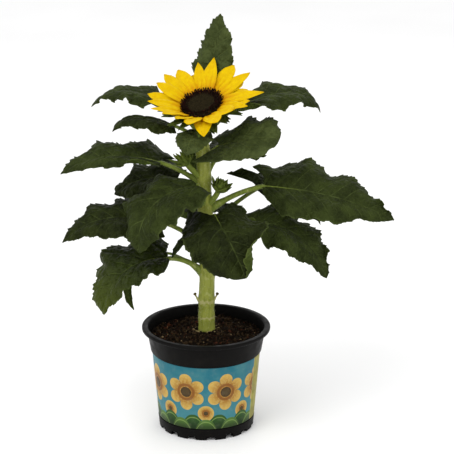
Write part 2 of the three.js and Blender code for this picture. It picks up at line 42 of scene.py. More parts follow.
TAU = 2 * math.pi
MM = 0.001  # everything below is worked out in millimetres

# ---- Camera and lights ----


def placed(name, data):
    """A new object of the scene."""
    made = bpy.data.objects.new(name, data)
    scene.collection.objects.link(made)
    return made


def aim(thing, place, target):
    thing.location = Vector(place) * MM
    thing.rotation_euler = (Vector(target) - Vector(place)).to_track_quat("-Z", "Y").to_euler()


ELEVATION = math.radians(17.7)
TARGET = (21.6, 0, 215)
CAMERA_FAR = 2200
lens = bpy.data.cameras.new("camera")
lens.lens = 171
camera = placed("camera", lens)
away = Vector((0, -math.cos(ELEVATION), math.sin(ELEVATION))) * CAMERA_FAR
aim(camera, Vector(TARGET) + away, TARGET)
scene.camera = camera


def softbox(name, place, size, watts):
    light = bpy.data.lights.new(name, "AREA")
    light.shape, light.size, light.energy = "DISK", size, watts
    aim(placed(name, light), place, (0, 0, 200))


softbox("key", (-600, -900, 1500), 0.9, 10)
softbox("fill", (1100, -900, 700), 1, 1.5)
softbox("back", (300, 1200, 1200), 0.9, 3)
world = bpy.data.worlds.new("studio")
world.use_nodes = True
world.node_tree.nodes["Background"].inputs["Color"].default_value = (1, 1, 1, 1)
scene.world = world
scene.view_settings.view_transform = "Standard"

# ---- Materials ----


def linear(*colour):
    """An sRGB colour of 0 to 255 as the linear colour a shader takes."""
    return (*Color([k / 255 for k in colour]).from_srgb_to_scene_linear(), 1)


class Nodes:
    """Short ways to add and join the nodes of one material."""

    def __init__(self, name, **sockets):
        self.material = bpy.data.materials.new(name)
        self.material.use_nodes = True
        self.tree = self.material.node_tree
        self.shader = self.tree.nodes["Principled BSDF"]
        for socket, value in sockets.items():
            self.shader.inputs[socket.replace("_", " ")].default_value = value

    def put(self, socket, value):
        if hasattr(value, "is_linked"):
            self.tree.links.new(value, socket)
        else:
            socket.default_value = value

    def add(self, kind, *values, **settings):
        """A new node, with values or other nodes' outputs in its first sockets."""
        node = self.tree.nodes.new(kind)
        for key, value in settings.items():
            setattr(node, key, value)
        for socket, value in zip(node.inputs, values):
            self.put(socket, value)
        return node

    def math(self, operation, *values):
        return self.add("ShaderNodeMath", *values, operation=operation).outputs[0]

    def times(self, a, b):
        return self.math("MULTIPLY", a, b)

    def minus(self, a, b):
        return self.math("SUBTRACT", a, b)

    def ramp(self, *values):
        """A smooth step of a value from low to high, from 0 to 1 or between two more values."""
        return self.add("ShaderNodeMapRange", *values, interpolation_type="SMOOTHSTEP").outputs["Result"]

    def mix(self, share, a, b):
        """Colours are outputs of nodes, or sRGB colours of 0 to 255."""
        node = self.add("ShaderNodeMix", data_type="RGBA")
        for socket, value in ((0, share), (6, a), (7, b)):
            self.put(node.inputs[socket], linear(*value) if isinstance(value, tuple) else value)
        return node.outputs[2]

    def texture(self, kind, size, stretch=(1, 1, 1), **settings):
        """A texture in the object's own millimetres, stretched."""
        node = self.add(kind, **settings)
        node.inputs["Scale"].default_value = 1 / size
        scale = self.add("ShaderNodeMapping", self.add("ShaderNodeTexCoord").outputs["Object"])
        scale.inputs["Scale"].default_value = [k / MM for k in stretch]
        self.put(node.inputs["Vector"], scale.outputs["Vector"])
        return node

    def noise(self, size, detail=3, stretch=(1, 1, 1), rough=0.55):
        node = self.texture("ShaderNodeTexNoise", size, stretch)
        node.inputs["Detail"].default_value = detail
        node.inputs["Roughness"].default_value = rough
        return node.outputs["Fac"]

    def cells(self, size, feature="F1"):
        return self.texture("ShaderNodeTexVoronoi", size, feature=feature).outputs["Distance"]

    def bump(self, height, distance, strength, below=None):
        node = self.add("ShaderNodeBump")
        node.inputs["Strength"].default_value = strength
        node.inputs["Distance"].default_value = distance * MM
        self.put(node.inputs["Height"], height)
        if below is not None:
            self.put(node.inputs["Normal"], below)
        return node.outputs["Normal"]

    def done(self, colour, normal=None, roughness=None):
        for socket, value in (("Base Color", colour), ("Normal", normal), ("Roughness", roughness)):
            if value is not None:
                self.put(self.shader.inputs[socket], value)
        return self.material


def leaf_material(name, dark, light, vein, vein_share, roughness, gloss=0.05, tip=None):
    """A leaf's skin. Its mesh carries the vein number, the share across and the share along."""
    m = Nodes(name, Roughness=roughness, Specular_IOR_Level=gloss)
    grown = m.add("ShaderNodeVertexColor", layer_name="grown")
    split = m.add("ShaderNodeSeparateColor", grown.outputs["Color"])
    number = m.times(split.outputs[0], 16)
    share, along = split.outputs[1], split.outputs[2]
    away = m.math("ABSOLUTE", m.minus(m.math("FRACT", number), 0.5))
    thin = m.ramp(share, 0, 1, 0.045, 0.012)
    side = m.ramp(m.minus(0.5, away), m.times(thin, 0.35), thin, 1, 0)
    middle = m.ramp(share, 0.008, 0.03, 1, 0)
    patchy = m.ramp(m.noise(13, 2), 0.4, 0.6, 0.15, 1)
    cross = m.cells(3.2, "DISTANCE_TO_EDGE")
    net = m.ramp(cross, 0, 0.09, 0.2, 0)
    lines = m.times(m.math("MAXIMUM", m.math("MAXIMUM", side, middle), net), patchy)
    base = m.mix(m.ramp(m.noise(14, 4), 0.35, 0.7), dark, light)
    # Painted light: the blade turns lighter and yellower towards its tip.
    if tip:
        base = m.mix(m.ramp(along, 0.4, 0.95, 0, 0.8), base, tip)
    grain = m.mix(m.ramp(m.noise(0.9), 0.45, 0.72, 0, 0.15), base, vein)
    edge = m.mix(m.ramp(share, 0.93, 1, 0, 0.35), grain, vein)
    colour = m.mix(m.times(lines, vein_share), edge, vein)
    quilted = m.bump(m.ramp(m.cells(7.5, "DISTANCE_TO_EDGE"), 0, 0.4), 1.3, 0.9)
    puff = m.bump(m.ramp(cross, 0, 0.35), 0.35, 0.55, quilted)
    hairy = m.bump(m.noise(0.5), 0.12, 0.5, puff)
    return m.done(colour, hairy, m.ramp(m.noise(5), 0.3, 0.7, roughness - 0.07, roughness + 0.09))


# Copies of one leaf skin in three brightnesses: a middle one; a darker one, partly the lower leaves' own
# darker tone and partly painted shade; and a lighter one, painted light for the top leaf and for leaves 10
# and 14, which lie in shade.
LEAF_MID = leaf_material("leaf_mid", (32, 39, 13), (48, 57, 22), (90, 102, 54), 0.42, 0.6)
LEAF_DARK_SHADED = leaf_material("leaf_dark_shaded", (22, 27, 7), (37, 44, 14), (84, 96, 50), 0.42, 0.55)
# The lowest leaves' skin, with painted light towards the tip.
LEAF_LOW = leaf_material("leaf_low", (24, 31, 5), (40, 49, 12), (88, 102, 46), 0.45, 0.44, 0.1,
                         tip=(64, 74, 16))
LEAF_PAINTED_LIT = leaf_material("leaf_painted_lit", (48, 56, 26), (68, 77, 40), (94, 106, 56), 0.4, 0.62)
LEAF_UNDER = leaf_material("leaf_under", (48, 59, 20), (68, 80, 32), (104, 116, 58), 0.5, 0.7)


def stalk_material(name, dark, light):
    m = Nodes(name, Roughness=0.5, Specular_IOR_Level=0.14)
    streaks = m.ramp(m.noise(2.2, 3, (1, 1, 0.12)), 0.25, 0.6, 0.4, 1)
    blotch = m.ramp(m.noise(16, 2), 0.35, 0.7, 0, 0.4)
    colour = m.mix(blotch, m.mix(streaks, dark, light), dark)
    fleck = m.ramp(m.noise(4.5, 2, (1, 1, 0.6)), 0.58, 0.7, 0, 0.4)
    colour = m.mix(fleck, colour, (178, 178, 118))
    fine = m.bump(m.noise(0.8, 3, (1, 1, 0.15)), 0.16, 0.6)
    return m.done(colour, fine, m.ramp(m.noise(3), 0.3, 0.7, 0.42, 0.6))


STALK = stalk_material("stalk_skin", (76, 92, 28), (124, 138, 56))
STEM = stalk_material("stem_skin", (104, 112, 34), (148, 154, 68))
SCAR = stalk_material("stem_scar", (140, 140, 76), (176, 172, 112))


def plain_grain(name, colour, darker, size, roughness, bump=0.15):
    m = Nodes(name, Roughness=roughness, Specular_IOR_Level=0.05)
    shade = m.mix(m.ramp(m.noise(size), 0.35, 0.7), darker, colour)
    return m.done(shade, m.bump(m.noise(size / 3, 2), bump, 0.5))


HAIR = plain_grain("hairs", (206, 212, 176), (176, 184, 140), 3, 0.6)
ROOT = plain_grain("root_tips", (172, 158, 112), (132, 114, 74), 2, 0.7)
STUB = plain_grain("dried_stub", (120, 106, 60), (70, 60, 34), 2, 0.8)
BRACT = plain_grain("bract_green", (84, 100, 38), (50, 62, 23), 4, 0.6)
BRACT_PALE = plain_grain("bract_pale", (110, 124, 50), (76, 90, 34), 4, 0.6)
RAY_SHADES = [
    plain_grain(f"ray_{i}", c, tuple(round(k * f) for k, f in zip(c, (0.96, 0.93, 0.8))), 5, 0.5, 0.1)
    for i, c in enumerate([(198, 134, 0), (204, 150, 0), (208, 162, 0), (212, 172, 0), (216, 182, 0)])
]
RAY_BACK = plain_grain("ray_back", (222, 186, 30), (208, 168, 22), 5, 0.55, 0.1)
DISC_SHADES = [
    plain_grain(f"floret_{i}", c, tuple(k * 0.6 for k in c), 1.2, 0.8, 0.1)
    for i, c in enumerate([(52, 45, 26), (66, 55, 34), (32, 15, 11), (48, 18, 15), (96, 56, 24)])
]


def soil_material(name, dark, light):
    m = Nodes(name, Roughness=0.95, Specular_IOR_Level=0.06)
    colour = m.mix(m.ramp(m.noise(2.2, 5, rough=0.7), 0.4, 0.68), dark, light)
    return m.done(colour, m.bump(m.noise(1.3, 5, rough=0.75), 0.9, 0.9))


SOIL_MATERIAL = soil_material("soil", (14, 9, 5), (35, 25, 15))
CRUMBS = [
    soil_material("crumb_dark", (16, 10, 6), (36, 24, 14)),
    soil_material("crumb_brown", (42, 31, 19), (68, 53, 35)),
    soil_material("crumb_red", (58, 31, 19), (86, 50, 33)),
    soil_material("crumb_pale", (110, 90, 62), (150, 130, 98)),
]


def pot_material():
    m = Nodes("pot_plastic", Roughness=0.4, Specular_IOR_Level=0.055)
    dust = m.ramp(m.noise(22, 5, rough=0.7), 0.5, 0.8, 0, 0.5)
    rubs = m.ramp(m.noise(3, 4, (1, 1, 6)), 0.62, 0.8, 0, 0.35)
    colour = m.mix(m.math("MAXIMUM", dust, rubs), (13, 12, 11), (27, 25, 22))
    rough = m.ramp(m.noise(9, 4), 0.3, 0.75, 0.36, 0.56)
    return m.done(colour, m.bump(m.noise(0.9, 2), 0.05, 0.5), rough)


POT_MATERIAL = pot_material()

# ---- Meshes ----


def mesh_of(name, points, faces):
    """A mesh of points in millimetres."""
    mesh = bpy.data.meshes.new(name)
    mesh.from_pydata((points * MM).tolist(), [], [list(map(int, f)) for f in faces])
    return mesh


def piece(name, points, faces, materials, shades, slot, replaces=(), grown=None):
    """One mesh object riding on the part. Shades give the material of all faces or of each."""
    mesh = mesh_of(name, points, faces)
    for material in materials:
        mesh.materials.append(material)
    mesh.polygons.foreach_set("material_index", np.resize(shades, len(faces)).astype(np.int32))
    mesh.shade_smooth()
    if grown is not None:
        layer = mesh.color_attributes.new("grown", "FLOAT_COLOR", "POINT")
        layer.data.foreach_set("color", np.asarray(grown, np.float32).ravel())
    mesh.validate()
    made = placed(name, mesh)
    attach(made, "root")
    if replaces:
        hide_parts(*replaces)
    return made


def sheet_faces(rows, cols, wrap=False):
    """The quads of a grid of rows x cols points, and of its last column to its first with wrap."""
    r, c = np.meshgrid(np.arange(rows - 1), np.arange(cols if wrap else cols - 1), indexing="ij")
    a, b = r * cols + c, r * cols + (c + 1) % cols
    return np.stack([a, b, b + cols, a + cols], -1).reshape(-1, 4)


class Heap:
    """Many small shapes joined into one mesh."""

    def __init__(self):
        self.points, self.faces, self.shades, self.count = [], [], [], 0

    def add(self, points, faces, shade=0):
        points = np.asarray(points, float).reshape(-1, 3)
        self.points.append(points)
        self.faces.extend((np.asarray(f) + self.count).tolist() for f in faces)
        self.shades.extend(np.resize(shade, len(faces)).tolist())
        self.count += len(points)

    def made(self, name, materials, slot, *replaces):
        piece(name, np.concatenate(self.points), self.faces, materials, self.shades, slot, replaces)


def smooth(x, low, high):
    t = np.clip((x - low) / (high - low), 0, 1)
    return t * t * (3 - 2 * t)


def unit(v):
    return v / np.linalg.norm(v, axis=-1, keepdims=True)


def spoke(angle):
    """The level direction at an angle in radians."""
    return np.array([math.cos(angle), math.sin(angle), 0])


def around(count):
    """Evenly spaced angles of a full turn."""
    return np.arange(count) * TAU / count


def circle(radius, turn, z):
    """Points round the Z axis."""
    return np.stack(np.broadcast_arrays(radius * np.cos(turn), radius * np.sin(turn), z), -1)


# ---- Lines that grow ----

STEPS = 40


def grow(start, turn, pitch, length, swing=0, droop=0, power=1.3, roll=0):
    """The part's own rule. Stations are [point, along, across, up] for each step."""
    t = np.linspace(0, 1, STEPS + 1)
    heading, climb = np.radians(turn + swing * t), np.radians(pitch - droop * t**power)
    along = np.stack([np.cos(heading) * np.cos(climb), np.sin(heading) * np.cos(climb), np.sin(climb)], 1)
    flat = np.stack([np.sin(heading), -np.cos(heading), 0 * t], 1)
    across = flat * math.cos(math.radians(roll)) + np.cross(along, flat) * math.sin(math.radians(roll))
    points = start + np.cumsum(np.vstack([np.zeros(3), along[:-1] * (length / STEPS)]), 0)
    return np.stack([points, along, across, np.cross(across, along)], 1)


def at(line, t):
    """The stations at shares t of a line."""
    spot = np.clip(np.asarray(t, float), 0, 1) * STEPS
    low = np.minimum(spot.astype(int), STEPS - 1)
    mixed = line[low] + (line[low + 1] - line[low]) * (spot - low)[..., None, None]
    mixed[..., 1:, :] = unit(mixed[..., 1:, :])
    return mixed


def tube(line, t, radius, sides):
    """A round limb's points: rings at shares t, radius an array of t, or of t by side."""
    turn = around(sides)
    stations = at(line, t)
    radius = radius[:, None] if radius.ndim == 1 else radius
    across, up = stations[:, None, 2], stations[:, None, 3]
    out = np.cos(turn)[None, :, None] * across + np.sin(turn)[None, :, None] * up
    return stations[:, None, 0] + out * radius[:, :, None]


def capped(rings):
    """Points and faces of a tube closed at both ends."""
    rows, sides = rings.shape[:2]
    points = rings.reshape(-1, 3)
    faces = sheet_faces(rows, sides, True).tolist()
    return points, faces + [list(range(sides))[::-1], list(range((rows - 1) * sides, rows * sides))]


# ---- Blades ----

VEIN_STEP, CELL_WIDTH, TOOTH_STEP, RIB_WIDTH = 14, 6.5, 4.6, 1.4


def outline(t, base, tip):
    """The half width at shares t of the length, 1 where it's widest."""
    b = base / (base + tip)
    return (t / b) ** base * ((1 - t) / (1 - b)) ** tip


def blade(line, length, width, rows, cols, least=0.9, base=0.42, tip=0.8, fold=(12, 12), cup=(-14, -14),
          curl=(-22, -22), ruffle=0.12, waves=3, uneven=0.05, teeth=1.7, lobe=(0.4, 0.4), phase=0,
          spread=(1, 1), rib=1.6, flips=(), thick=0.5, puff=1):
    """A thin closed blade: its points, faces, each face's side (0 top, 1 under) and its growth.

    Pairs are for its left and right halves.
    """
    t = (np.arange(rows + 1) / rows) ** 1.2
    T, S = t[:, None], np.arange(cols + 1)[None, :] / cols
    stations = at(line, t)
    point, along, across, up = (stations[:, None, k] for k in range(4))
    shape = outline(T, base, tip)
    rise = 0.45 * width / length
    number_of = max(4, round(length / VEIN_STEP))
    halves = []
    for side in (0, 1):
        wave = TAU * (waves * T + phase + 0.37 * side)
        irregular = 1 + uneven * np.sin(0.8 * wave + 2)
        half = np.maximum(least, spread[side] * width / 2 * shape * irregular)
        bend = fold[side] + (cup[side] + curl[side]) * 1.1 * smooth(S, 0.25, 0.75) + 0 * T
        for flip_side, middle, reach, angle, start in flips:
            if flip_side == side:
                bend += angle * smooth(S, start, start + 0.24) * np.exp(-(((T - middle) / reach) ** 2))
        turned = np.radians((bend[:, 1:] + bend[:, :-1]) / 2)
        out = np.hstack([0 * T, np.cumsum(np.cos(turned), 1) / cols])
        lift = np.hstack([0 * T, np.cumsum(np.sin(turned), 1) / cols])
        ruffled = ruffle * half * S**2 * np.sin(wave)
        ruffled += 0.42 * ruffle * half * S**3 * np.sin(2.6 * wave + 1)
        back = lobe[side] * width / 2 * S**1.5 * (1 - T) ** 6 * smooth(T, 0, 0.06)
        far = T * length
        saw = (far / TOOTH_STEP + 0.4 * side + 0.5 * np.sin(far / 7 + side)) % 1
        scallop = np.sin(far / 2.1 + 1.8 * np.sin(far / 9 + side)) + np.sin(far / 3.7 + 2 * side)
        tooth = min(1, width / 45) * teeth * ((saw**1.5 - 0.4) * S**10 + 0.42 * scallop * S**5)
        tooth = tooth * smooth(T, 0.02, 0.1) * smooth(1 - T, 0, 0.06)
        place = point + across * (2 * side - 1) * (half * out + tooth)[..., None]
        place += up * (half * lift + ruffled + 0.6 * tooth)[..., None]
        place -= along * (back - 0.6 * tooth)[..., None]
        number = number_of * (T - rise * shape * S**1.1)
        number += 0.35 * side * smooth(number, 0, 1)
        gap = np.abs((number + 0.5) % 1 - 0.5) * length / number_of
        cross = np.abs((S * half / CELL_WIDTH + 0.5 * np.floor(number) + 0.5) % 1 - 0.5) * CELL_WIDTH
        cushion = np.minimum(1, gap / 3.5) ** 0.7 * (0.62 + 0.38 * np.minimum(1, cross / 2) ** 0.7)
        calm = smooth(S * half, 0, 3) * (1 - 0.6 * S**6)
        swell = puff * (cushion - 0.5) * calm
        spine = np.exp(-((S * half / RIB_WIDTH) ** 2)) * rib * (1 - T) ** 0.8
        keel = spine + 0.35 * puff * np.exp(-((gap / 0.8) ** 2)) * (1 - 0.7 * S)
        halves.append((place, swell, keel, number))
    middle, swell, keel, number = (np.concatenate([left[:, :0:-1], right], 1) for left, right in zip(*halves))
    share = np.abs(np.linspace(-1, 1, 2 * cols + 1))[None, :] + 0 * T
    rightward, forward = np.gradient(middle, axis=1), np.gradient(middle, axis=0)
    normal = np.cross(rightward, forward)
    normal /= np.maximum(np.linalg.norm(normal, axis=-1, keepdims=True), 1e-9)
    skin = thick / 2 * (1 - 0.5 * share**4)
    upper = middle + normal * (swell + skin)[..., None]
    lower = middle + normal * (swell - skin - keel)[..., None]
    count = share.size
    grid = sheet_faces(rows + 1, 2 * cols + 1)
    index = np.arange(count).reshape(rows + 1, -1)
    loop = np.concatenate([index[0, :-1], index[:-1, -1], index[-1, :0:-1], index[:0:-1, 0]])
    rim = np.stack([loop, loop + count, np.roll(loop, -1) + count, np.roll(loop, -1)], 1)
    faces = np.vstack([grid, grid[:, ::-1] + count, rim])
    sides = np.repeat([0, 1, 1], [len(grid), len(grid), len(rim)])
    growth = np.stack([(number + 8) / 16, share, T + 0 * share, 1 + 0 * share], -1).reshape(-1, 4)
    return np.stack([upper, lower]).reshape(-1, 3), faces, sides, np.vstack([growth, growth])


def small_blade(line, length, width, rows, cols, fold, curl, **given):
    """A blade for the bloom or a bud, with both halves alike and no teeth, cushions or lobes."""
    plain = dict(cup=(0, 0), waves=1, uneven=0, teeth=0, lobe=(0, 0), puff=0)
    return blade(line, length, width, rows, cols, fold=(fold, fold), curl=(curl, curl), **{**plain, **given})


# ---- Stem ----

FOOT_RADIUS, LOW_RADIUS, TOP_RADIUS, NECK_RADIUS, SWELLING = 8.6, 7.9, 6.8, 8.6, 0.9
JOIN_RADIUS = 8.2  # added to a stalk's length, because it grows from the middle of the stem
KNOB_HEIGHT = 136
RING_GROOVES = (118, 135)
RING_SCARS = ((118, 1), (135.5, 1.7))  # height and half width
NODE_HEIGHTS = [118, 136, 166, 202, 235, 265, 293, 321]
BLOOM_CENTRE = np.array([-3.5, -3, 343.5])
TILT_FORWARD, TILT_SIDE = math.radians(24), math.radians(-14)
SEAT_DEPTH = 12

ca, sa, cb, sb = math.cos(TILT_FORWARD), math.sin(TILT_FORWARD), math.cos(TILT_SIDE), math.sin(TILT_SIDE)
BLOOM_TURN = np.array([[cb, 0, sb], [0, 1, 0], [-sb, 0, cb]]) @ [[1, 0, 0], [0, ca, -sa], [0, sa, ca]]
BLOOM_AXIS = BLOOM_TURN[:, 2]
NECK = BLOOM_CENTRE - BLOOM_AXIS * (SEAT_DEPTH + 0.3)
COURSE = [(0.5, 0, 103.8), (0.3, 0, 133), (1.2, 0, 168), (0.5, 0.5, 208), (-1, 1, 248), (-2.5, 1.5, 288),
          (-3.5, 1, 318), NECK - 4 * BLOOM_AXIS, NECK]


def stem_stations():
    """Evenly spaced stations on the centripetal curve through COURSE, across kept near +X."""
    p = np.array(COURSE)
    p = np.vstack([2 * p[0] - p[1], p, 2 * p[-1] - p[-2]])
    pieces = []
    for i in range(1, len(p) - 2):
        a, b, c, d = p[i - 1:i + 3]
        ka, kb, kc = (max(np.linalg.norm(k) ** 0.5, 1e-4) for k in (b - a, c - b, d - c))
        m0 = ((b - a) / ka - (c - a) / (ka + kb) + (c - b) / kb) * kb
        m1 = ((c - b) / kb - (d - b) / (kb + kc) + (d - c) / kc) * kb
        u = np.linspace(0, 1, 60, endpoint=i == len(p) - 3)[:, None]
        pieces.append((2 * u**3 - 3 * u**2 + 1) * b + (u**3 - 2 * u**2 + u) * m0
                      + (3 * u**2 - 2 * u**3) * c + (u**3 - u**2) * m1)
    curve = np.vstack(pieces)
    far = np.concatenate([[0], np.cumsum(np.linalg.norm(np.diff(curve, axis=0), axis=1))])
    even = np.linspace(0, far[-1], STEPS + 1)
    points = np.stack([np.interp(even, far, curve[:, k]) for k in range(3)], 1)
    along = unit(np.gradient(points, axis=0))
    across = unit([1, 0, 0] - along * along[:, :1])
    return np.stack([points, along, across, np.cross(across, along)], 1)


STEM_LINE = stem_stations()


def stem_point(height):
    """The middle of the stem at a height."""
    return at(STEM_LINE, np.interp(height, STEM_LINE[:, 0, 2], np.linspace(0, 1, STEPS + 1)))[0]


def stem_height(t):
    return STEM_LINE[0, 0, 2] + (STEM_LINE[-1, 0, 2] - STEM_LINE[0, 0, 2]) * t


def stem_radius(t):
    z = stem_height(t)
    plain = LOW_RADIUS + (TOP_RADIUS - LOW_RADIUS) * smooth(t, 0.1, 0.85)
    flare = (FOOT_RADIUS - LOW_RADIUS) * (1 - smooth(t, 0, 0.06))
    neck = (NECK_RADIUS - TOP_RADIUS) * smooth(t, 0.93, 1)
    swollen = sum(SWELLING * np.exp(-(((z - h) / 5) ** 2)) for h in NODE_HEIGHTS)
    return plain + flare + neck + swollen


hairs = Heap()


def hairs_along(line, low, high, count, radius_at, length, thick):
    """Short three-sided hairs standing out of a limb, between two shares of its line."""
    share = RNG.uniform(low, high, count)
    stations = at(line, share)
    a = RNG.uniform(0, TAU, count)[:, None]
    outward = np.cos(a) * stations[:, 2] + np.sin(a) * stations[:, 3]
    roots = stations[:, 0] + outward * radius_at(share)[:, None]
    lean = outward + RNG.normal(0, 0.25, outward.shape)
    tips = roots + unit(lean) * (length * RNG.uniform(0.5, 1.2, len(roots)))[:, None]
    side = unit(np.cross(lean, RNG.normal(0, 1, outward.shape)))
    other = unit(np.cross(lean, side))
    turn = around(3)[:, None, None]
    feet = roots - outward * 0.2 + thick * (np.cos(turn) * side + np.sin(turn) * other)
    for corners in zip(*feet, tips):
        hairs.add(corners, [(0, 1, 3), (1, 2, 3), (2, 0, 3), (0, 2, 1)])


def make_stem():
    rows, sides = 220, 60
    t = np.linspace(0, 1, rows + 1)
    turn = around(sides)
    z = stem_height(t)[:, None]
    ridges = 0.016 * np.cos(9 * turn + 0.4 * np.sin(z / 31)) + 0.008 * np.cos(23 * turn + z / 40)
    grooves = sum(-0.45 * np.exp(-(((z - h) / 0.9) ** 2)) for h in RING_GROOVES)
    radius = stem_radius(t)[:, None] * (1 + ridges) + grooves + 0.125 * np.sin(z / 7)
    heap = Heap()
    points, faces = capped(tube(STEM_LINE, t, radius, sides))
    x, y, high = np.array([points[f[0]] for f in faces]).T
    angle = np.arctan2(y, x)
    high = high + 0.5 * np.sin(5 * angle) + 0.4 * np.sin(11 * angle + 1)
    heap.add(points, faces, np.where(np.min([abs(high - h) / r for h, r in RING_SCARS], 0) < 1, 2, 0))
    for heading in (200, 345):  # the dried stubs of the first two leaves
        start = spoke(math.radians(heading)) * (JOIN_RADIUS - 1) + [0, 0, KNOB_HEIGHT]
        line = grow(start, heading, 50, 10.5, droop=-24)
        u, knob_sides, tip_ring = np.linspace(0, 1, 16), 10, 11
        knob = 1.9 - 1.1 * smooth(u, 0, 0.6) + np.exp(-(((u - 0.9) / 0.1) ** 2))
        points, faces = capped(tube(line, u, knob, knob_sides))
        heap.add(points, faces, [1 if min(f) >= tip_ring * knob_sides else 2 for f in faces])
    heap.made("stem_fine", [STEM, STUB, SCAR], "stem", "stem")
    hairs_along(STEM_LINE, 0.03, 0.97, 2600, stem_radius, 1.5, 0.11)


make_stem()

# ---- Stalks and leaves ----

# The same leaves as the part's: height on the stem, turn, stalk (length, pitch, droop, swing), blade
# (length, width, turn, pitch, droop) and what else the line and the blade have.
LEAVES = {
    1: (161, 187, (40, 52, 54, 6), (99, 70, 2, 8, 100),
        dict(power=1.1, swing=6, roll=-10, spread=(0.82, 1.15), lobe=(0, 0.5), base=0.36, tip=0.72,
             phase=0.4)),
    2: (192, 170, (45, 40, 24, 6), (110, 72, 8, 14, 66),
        dict(power=1.6, swing=4, roll=-24, spread=(0.9, 1), base=0.4, tip=0.95)),
    3: (207, 288, (33, 54, 20, 0), (86, 88, -2, -14, 46),
        dict(swing=22, roll=14, spread=(0.74, 0.95), lobe=(0.6, 1), tip=0.55, waves=2.5)),
    4: (197, 350, (28, 46, 30, 0), (121, 64, 0, 26, 102), dict(power=0.9, swing=-9, roll=22, phase=0.3)),
    5: (231, 250, (32, 66, 20, -4), (104, 90, -46, -2, 104),
        dict(power=1.4, swing=24, roll=-6, spread=(0.92, 1), lobe=(0.4, 0.2), phase=0.15)),
    6: (231, 357, (57, 36, 24, 0), (138, 76, -3, -3, 24),
        dict(swing=-2, roll=32, spread=(1.15, 0.95), lobe=(0.5, -0.2), base=0.4, tip=0.9, uneven=0.1,
             phase=0.1, waves=3.5)),
    7: (209, 26, (62, 44, 24, 0), (90, 74, -4, -8, 60),
        dict(roll=26, spread=(1.05, 0.56), lobe=(0.8, -0.1))),
    8: (241, 148, (30, 40, 20, 4), (72, 64, 12, 4, 50), dict(swing=10, roll=-28)),
    9: (259, 178, (42, 36, 18, 0), (106, 66, 2, 16, 54),
        dict(swing=2, roll=-16, spread=(0.62, 1.15), lobe=(0.2, 0.9), uneven=0.08, phase=0.2)),
    10: (283, 312, (21, 54, 20, 10), (66, 66, 18, 22, 24),
         dict(swing=8, roll=26, spread=(1.15, 1.05), lobe=(0.6, 1.35), tip=0.45, base=0.5)),
    11: (277, 102, (18, 40, 30, 0), (44, 32, 0, -34, 30), dict()),
    12: (305, 184, (24, 40, 20, 0), (70, 44, 0, 18, 100), dict(power=3, roll=12)),
    13: (309, 14, (38, 45, 10, 0), (98, 62, -4, 18, 96), dict(power=2.6, roll=9, spread=(1.2, 1))),
    14: (312, 256, (14, 40, 30, 0), (38, 36, -4, -6, 54), dict(ruffle=0.06, lobe=(0.2, 0.2))),
    15: (312, 147, (44, 42, 20, 6), (86, 54, 6, 18, 76),
         dict(power=1.8, swing=10, roll=-1, spread=(1, 1.15))),
    16: (303, 83, (44, 40, -14, 0), (87, 49, -26, 73, 0), dict(ruffle=0.08)),
    17: (265, 56, (34, 44, 30, 4), (84, 60, 0, 4, 60), dict(swing=4)),
    18: (203, 96, (36, 36, 30, 0), (88, 62, 0, 0, 60), dict(swing=6)),
    19: (179, 199, (29, 60, 26, 0), (25, 13, 10, -46, 20), dict(ruffle=0.05, lobe=(0, 0))),
    20: (153, 146, (94, 52, 112, 33), (46, 14, 2, -76, 46), dict(ruffle=0.05, lobe=(0, 0), roll=40)),
}
STALK_THICK = {1: 3.1, 20: 1.4}
# What only the finer leaves have. Flips turn a stretch of one margin up: side, where along, how
# far along, angle, and the share across where the turn starts.
FINER = {
    1: dict(puff=2.2, teeth=2, fold=(12, 22), cup=(-14, -6), curl=(-22, -14)),
    3: dict(flips=((0, 0.92, 0.3, 195, 0.38),), puff=1.4, spread=(0.92, 1)),
    4: dict(flips=((1, 0.18, 0.1, 190, 0.5), (0, 0.86, 0.08, 180, 0.6)), teeth=2),
    5: dict(puff=1.2, teeth=0.9),
    6: dict(flips=((0, 0.9, 0.06, 185, 0.6),), teeth=1.2, lobe=(0.8, -0.2), ruffle=0.1),
    7: dict(lobe=(1.25, -0.1)),
    9: dict(flips=((0, 0.2, 0.12, 185, 0.6),), teeth=2.4, ruffle=0.08),
    10: dict(spread=(1.2, 1), cup=(-14, -8), curl=(-22, -12), ruffle=0.05),
    12: dict(ruffle=0.05, fold=(-12, 14)),
    13: dict(flips=((1, 0.14, 0.1, 170, 0.6),)),
    14: dict(spread=(1.22, 1)),
}
# Which leaves take the darker skin with painted shade, the skin of the lowest leaves, and the lighter skin
# with painted light; the rest take the middle skin.
SKINS = {
    **dict.fromkeys((2, 3, 7, 8, 11, 12, 17, 18), LEAF_DARK_SHADED),
    **dict.fromkeys((1, 20), LEAF_LOW),
    **dict.fromkeys((10, 14, 16), LEAF_PAINTED_LIT),
}
RIB_SUNK, RIB_SUNK_MORE = 0.68, {5: 0.95}  # how deep a midrib lies under its blade, in its own radii


def limb(name, rings):
    """A stalk in place of the CAD part of that name."""
    piece(f"{name}_fine", *capped(rings), [STALK], 0, "stalk", [name])


